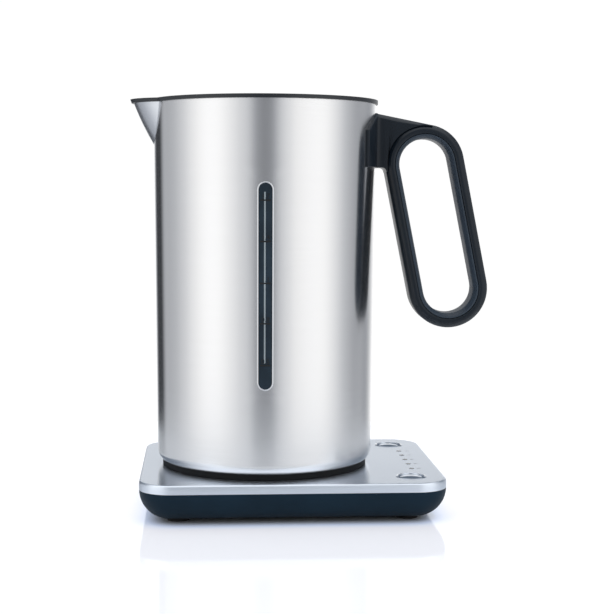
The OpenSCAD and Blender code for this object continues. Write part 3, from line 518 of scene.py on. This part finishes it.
def beak(phi, z, inset=0.0):
    """The spout's skin: a tube bent about a level axis. phi goes round the tube from its outermost
    line, and the bend's section at height z gives how far out that point lies."""
    reach = np.sqrt((beak_bend + (beak_r - inset) * np.cos(phi)) ** 2 - (z - bulge_z) ** 2)
    return np.stack([bulge_x - reach, (beak_r - inset) * np.sin(phi), z + 0 * reach], -1)


def halved(below_it, low, high, rounds=40):
    """Where a test that holds below a value and fails above it changes, by halving, elementwise."""
    for _ in range(rounds):
        middle = (low + high) / 2
        below = below_it(middle)
        low, high = np.where(below, middle, low), np.where(below, high, middle)
    return low


def seam_height(across):
    """How high the steel goes at each place round it: up to the spout where that stands over it."""
    bearing = gauge_side + across / mean_r

    def inside(z):
        """Whether the spout's skin lies within the steel at that height."""
        y = jug_r(z) * np.sin(bearing)
        phi = np.arcsin(np.clip(y / beak_r, -1, 1))
        return beak(phi, z)[..., 0] > jug_r(z) * np.cos(bearing)
    here = np.full(across.shape, jug_h)
    near = np.cos(bearing) < -0.9
    top = halved(inside, np.full(across.shape, beak_low), here)
    return np.where(near, top, here)


half_patch = 14
turning = half_patch * np.tan(np.radians(np.linspace(0, 45, 7)))
patch_x = np.concatenate([-turning[::-1], turning[1:]])
patch_z = np.concatenate([low_mid - turning[::-1], np.linspace(low_mid, high_mid, 12)[1:-1],
                          high_mid + turning])
whole = mean_r * 2 * np.pi
round_x = np.concatenate([patch_x, np.linspace(half_patch, whole - half_patch, 187)[1:]])
border = np.concatenate([[(x, patch_z[0]) for x in patch_x],
                         [(patch_x[-1], z) for z in patch_z[1:]],
                         [(x, patch_z[-1]) for x in patch_x[-2::-1]],
                         [(patch_x[0], z) for z in patch_z[-2::-1]]])
spine = np.column_stack([0 * border[:, 1], np.clip(border[:, 1], low_mid, high_mid)])
away = border - spine
slot_edge = spine + away / np.linalg.norm(away, axis=1)[:, None] * slot_w / 2
seam = seam_height(round_x)


def body_skin(out):
    """The body's surface, offset outwards: foot roll and lower sides, sides beside the gauge, sides
    above it up to the seam, and a patch whose rings close from a rectangle onto the slot."""
    roll_r, roll_z = arc(jug_r(edge_z) - edge_r, edge_z, edge_r + out, -edge_turn, 0, 10)
    low_z = np.concatenate([roll_z, [24, patch_z[0]]])
    low_r = np.concatenate([roll_r, jug_r(low_z[-2:]) + out])
    bearing = gauge_side + round_x / mean_r
    low = np.stack([low_r[:, None] * np.cos(bearing), low_r[:, None] * np.sin(bearing),
                    low_z[:, None] + 0 * bearing], -1)
    beside = wrap(round_x[None, len(patch_x) - 1:], patch_z[:, None], out)
    share = np.array([0, 0.25, 0.5, 0.75, 0.9, 1])[:, None]
    high = wrap(round_x[None], patch_z[-1] + share * (seam - patch_z[-1]), out)
    steps = np.array([0, 0.35, 0.65, 0.85, 0.95, 1])[:, None, None]
    rings = border + steps * (slot_edge - border)
    return low, beside, high, wrap(rings[..., 0], rings[..., 1], out)


outer, inner = body_skin(0), body_skin(-wall)
piece("steel_body",
      [*outer, *inner, np.stack([outer[0][0], inner[0][0]]), np.stack([outer[2][-1], inner[2][-1]]),
       np.stack([outer[3][-1], inner[3][-1]])],
      on_jug, "jug", body_steel, ["jug_shell"], 50)


# ---- Jug: spout ----
# A pressed beak of the same sheet, welded edge to edge over the cut-away, its keel bowed outwards.
# It is polished rather than ground. Inside it a black frame holds the filter's steel mesh.
spout_steel = ground_steel("spout_steel", (0.68, 0.71, 0.76), 0.33, (200, 200, 1200), 0.3)
beak_rows, weld_overlap = 22, 0.012
beak_z = beak_low + (jug_h - beak_low) * np.linspace(0, 1, beak_rows) ** 2


def in_open_air(phi):
    """Whether the spout's skin at that turn, at each of beak_z, lies outside the steel."""
    return np.hypot(*np.moveaxis(beak(phi, beak_z)[:, :2], -1, 0)) > jug_r(beak_z)


half_turn = halved(in_open_air, np.zeros(beak_rows), np.full(beak_rows, 1.5))
beak_phi = np.linspace(-1, 1, 41) * (half_turn + weld_overlap)[:, None]
beak_out, beak_in = beak(beak_phi, beak_z[:, None]), beak(beak_phi, beak_z[:, None], wall)
piece("spout_beak",
      [beak_out, beak_in, np.stack([beak_out[-1], beak_in[-1]]),
       np.stack([beak_out[:, 0], beak_in[:, 0]]), np.stack([beak_out[:, -1], beak_in[:, -1]]),
       np.stack([beak_out[0], beak_in[0]])],
      on_jug, "jug", spout_steel, ["spout"])
finish_nodes(black_plastic, "spout_filter")
finish_nodes(inner_steel, "filter_mesh")


# ---- Jug: rim collar ----
# A black moulded ring that caps the steel's top edge, reaches over the spout as a thin lip and
# carries the lid's seat and hinge inside the mouth.
rim_plastic = moulded("rim_plastic", (0.014, 0.018, 0.023), 0.35)
finish_nodes(rim_plastic, "rim_collar")


# ---- Jug: water gauge ----
# A bright frame round a slot in the steel, and behind it a smoky window with a pale strip down its
# middle, a painted highlight, and five printed marks, each with its litres. A black back holds the
# window against a rubber seal.
chrome = ground_steel("frame_chrome", (0.85, 0.87, 0.9), 0.12, (200, 200, 200), lines=0.01)


def stadium(half_width, height=0.0, out=0.0, steps=16):
    """A closed ring round the gauge at half_width from its spine, shifted up and out of the steel:
    half a turn about the slot's upper middle, then half a turn about its lower one."""
    a = np.linspace(0, np.pi, steps)
    a = np.concatenate([a, a + np.pi, [0]])
    middle = np.concatenate([np.full(steps, high_mid), np.full(steps, low_mid), [high_mid]])
    return wrap(half_width * np.cos(a), middle + height + half_width * np.sin(a), out)


edge = slot_w / 2 - 0.03
# pairs of distance in from the slot's edge and distance out of the steel
rail = [(0, -0.8), (0, 0.1), (0.1, 0.24), (0.28, 0.3), (0.45, 0.3), (0.62, 0.22), (0.7, 0.08),
        (0.7, -0.8), (0, -0.8)]
piece("gauge_rail", [np.stack([stadium(edge - inward, 0, out) for inward, out in rail])],
      on_jug, "jug", chrome, ["gauge_frame"])
smoke = moulded("smoky_window", (0.017, 0.031, 0.046), 0.12, 100.0, 0.000001, 0.3)
pane_half = edge - 0.74
pane = [(0, -0.45), (pane_half, -0.45), (pane_half, -1.4), (0, -1.4)]
piece("gauge_pane", [np.stack([stadium(half, 0, out) for half, out in pane])],
      on_jug, "jug", smoke, ["gauge_window"])
# painted highlight: a flat pale strip down the window's middle stands in for the highlight there
spine_highlight_paint = moulded("painted_spine_highlight", (0.32, 0.37, 0.4), 0.4)
spine_z = np.linspace(66, 160, 20)[:, None]
piece("gauge_spine", [wrap(np.array([[-0.75, 0.1]]), spine_z, -0.42)],
      on_jug, "jug", spine_highlight_paint)
gauge_ink = moulded("gauge_ink", (0.002, 0.003, 0.004), 0.4)
marks = {"1.7": 155.5, "1.4": 133.0, "1.1": 110.1, "0.8": 87.9, "0.5": 64.8}
mark_z = list(marks.values())
half_mark, half_line = 2.9, 0.42
piece("gauge_marks",
      [wrap(np.linspace(-half_mark, half_mark, 7)[None], z + np.array([[-half_line], [half_line]]),
            -0.4) for z in mark_z], on_jug, "jug", gauge_ink)


def above_mark(x, y, number):
    """A point of a mark's litres, which stand on its line, a hair out from the window."""
    return wrap(x - 2.3, mark_z[number] + 2.1 + y, -0.38)


lettering("gauge_numbers", list(marks), 3.9, above_mark, on_jug, "jug", gauge_ink)
finish_nodes(black_plastic, "gauge_back")
finish_nodes(foot_rubber, "gauge_seal")


# ---- Jug: handle ----
# A black shield on the steel, an arm that runs out from it and a long tilted loop, all screwed on
# from inside. The loop is a satin shell round a greyer liner, with a fine groove between them and
# a broad outer chamfer.
handle_black = moulded("handle_skin", (0.006, 0.0115, 0.019), 0.34, 900.0, 0.000001, specular=0.34)
liner_grey = moulded("liner_skin", (0.034, 0.05, 0.072), 0.42, 900.0, 0.000001, specular=0.3)
loop_x, loop_z, loop_len, tilt = 93.2, 176.4, 74, math.radians(11.3)
loop_r, hole_r, split_r = 23.1, 14.8, 17.6


def loop(radius, y, steps=32):
    """A closed ring in the handle's plane at that radius from the loop's centre line, y to the
    side: half a turn at each end of a straight loop_len long, and all of it tilted."""
    a = np.linspace(0, np.pi, steps)
    a = np.concatenate([a, a + np.pi, [0]])
    drop = np.concatenate([np.zeros(steps), np.full(steps, loop_len), [0]])
    x, z = radius * np.cos(a), radius * np.sin(a) - drop
    return np.stack([loop_x + x * math.cos(tilt) - z * math.sin(tilt), y + 0 * x,
                     loop_z + x * math.sin(tilt) + z * math.cos(tilt)], -1)


def mirrored(half):
    """A section closed by its mirror image: (radius, y) from the front face in to the middle."""
    half = [(r, -y) for r, y in half]
    return half + [(r, -y) for r, y in half[::-1]] + half[:1]


# the liner's first point is a tongue that closes the groove's bottom
shell = mirrored([(split_r + 0.08, 10), (split_r + 0.08, 12), (split_r + 0.2, 12.3),
                  (split_r + 0.5, 12.5), (20.2, 12.5), (20.5, 12.35), (22.75, 9), (23.0, 8.5),
                  (loop_r, 7.9), (loop_r, 2)])
liner = mirrored([(split_r + 0.06, 9.9), (split_r - 0.08, 10), (split_r - 0.08, 11.7),
                  (split_r - 0.25, 12), (17.0, 12.1), (16.6, 11.9), (16.35, 11.6), (15.1, 8.7),
                  (14.9, 8.1), (hole_r, 7.4), (hole_r, 2)])
piece("handle_loop", [np.stack([loop(r, y) for r, y in shell])], on_jug, "jug", handle_black,
      ["handle_shell"])
piece("loop_liner", [np.stack([loop(r, y) for r, y in liner])], on_jug, "jug", liner_grey,
      ["handle_liner"])

shield_low, shield_high, crown_r, shield_t, shield_turn = 174.2, 206.2, 45, 1.5, 27
# how the shield's edge rounds over: distances in from it, and heights off the steel
inset, rise = np.array([(0, 0.05), (0, 0.9), (0.12, 1.2), (0.35, 1.42), (0.8, shield_t)]).T
half_wide = shield_turn / 180 * np.pi * mean_r
col = np.concatenate([-half_wide + inset, np.linspace(-half_wide + 3, half_wide - 3, 25),
                      half_wide - inset[::-1]])
col_rise = np.concatenate([rise, np.full(25, shield_t), rise[::-1]])
crown = shield_high - crown_r + np.sqrt(crown_r ** 2 - (65 * np.sin(col / mean_r)) ** 2)
low_rows = [shield_low + i + 0 * crown for i in inset]
high_rows = [crown - i for i in inset[::-1]]
middle_rows = [shield_low + 3 + s * (crown - 3 - shield_low - 3) for s in np.linspace(0, 1, 9)]
row_z = np.stack(low_rows + middle_rows + high_rows)
row_rise = np.concatenate([rise, np.full(9, shield_t), rise[::-1]])
shield_skin = wrap(col[None], row_z, np.minimum(col_rise[None], row_rise[:, None]), 0)
shield_back = wrap(col[None], row_z, rise[0], 0)
piece("handle_shield", [shield_skin, shield_back], on_jug, "jug", handle_black,
      ["handle_bracket"])

# the arm's upper edge runs straight to where it is tangent to the loop. Its lower edge runs level,
# round a small notch and then along the inside of the loop's limb
top_x, top_z = loop_x + loop_r * math.sin(tilt), loop_z + loop_r * math.cos(tilt)
notch_r = 2.6
notch_z = shield_low - notch_r
notch_x = loop_x - loop_r / math.cos(tilt) + (loop_z - notch_z) * math.tan(tilt) - notch_r
root_x = np.array([64.6, 65.4, 66.1, 67.0])
under_x, under_z = arc(notch_x, notch_z, notch_r, 90, 0, 7)
limb_x, limb_z = arc(loop_x, loop_z, loop_r - 0.9, 192, 80, 16)
under = np.column_stack([np.concatenate([root_x, under_x, limb_x]),
                         np.concatenate([np.full(4, shield_low), under_z, limb_z])])
over_x = np.concatenate([root_x, np.linspace(67.8, 70, 7), np.linspace(71.2, top_x, 16)])
upper = np.column_stack([over_x, top_z + (top_x - over_x) * math.tan(tilt) - 0.05])
half_arm = 11 + np.concatenate([[0.5, 0.3, 0.1, 0.0], np.zeros(23)])
length = np.linalg.norm(under - upper, axis=1)
down = (under - upper) / length[:, None]


def across_arm(sideways, drop):
    """A line along the arm: sideways as a share of its half width, drop millimetres below its top.
    A drop that is one number stops short of the arm's middle."""
    held = np.minimum(drop, length * 0.45 if np.isscalar(drop) else drop)
    spot = upper + down * held[:, None]
    return np.stack([spot[:, 0], sideways * half_arm, spot[:, 1]], -1)


ribs = [across_arm(0, 0), across_arm(-0.72, 0), across_arm(-0.78, 0.12), across_arm(-0.96, 1.75),
        across_arm(-1, 2.3), across_arm(-1, length - 0.5), across_arm(-0.985, length - 0.15),
        across_arm(-0.94, length), across_arm(0, length)]
arm = np.stack(ribs + [rib * [1, -1, 1] for rib in ribs[-2::-1]])
piece("handle_arm", [arm, np.stack([arm[:9, 0], arm[:7:-1, 0]]),
                     np.stack([arm[:9, -1], arm[:7:-1, -1]])],
      on_jug, "jug", handle_black)
finish_nodes(inner_steel, "handle_screws")


# ---- Lid ----
# A black moulded plug with a silicone seal, under a disc of ground steel with a round scoop for two
# fingers and a bar across it to lift the lid by. It hinges on a steel pin beside the handle.
lid_steel = ground_steel("lid_steel", (0.7, 0.74, 0.8), 0.28, (2400, 40, 200), 0.6, (1.0, 0.0, 0.0))
silicone = moulded("silicone", (0.55, 0.57, 0.58), 0.6)
finish_nodes(lid_steel, "lid_cover")
finish_nodes(rim_plastic, "lid_base", "lid_grip")
finish_nodes(silicone, "lid_seal")
finish_nodes(inner_steel, "lid_dish", "hinge_pin")
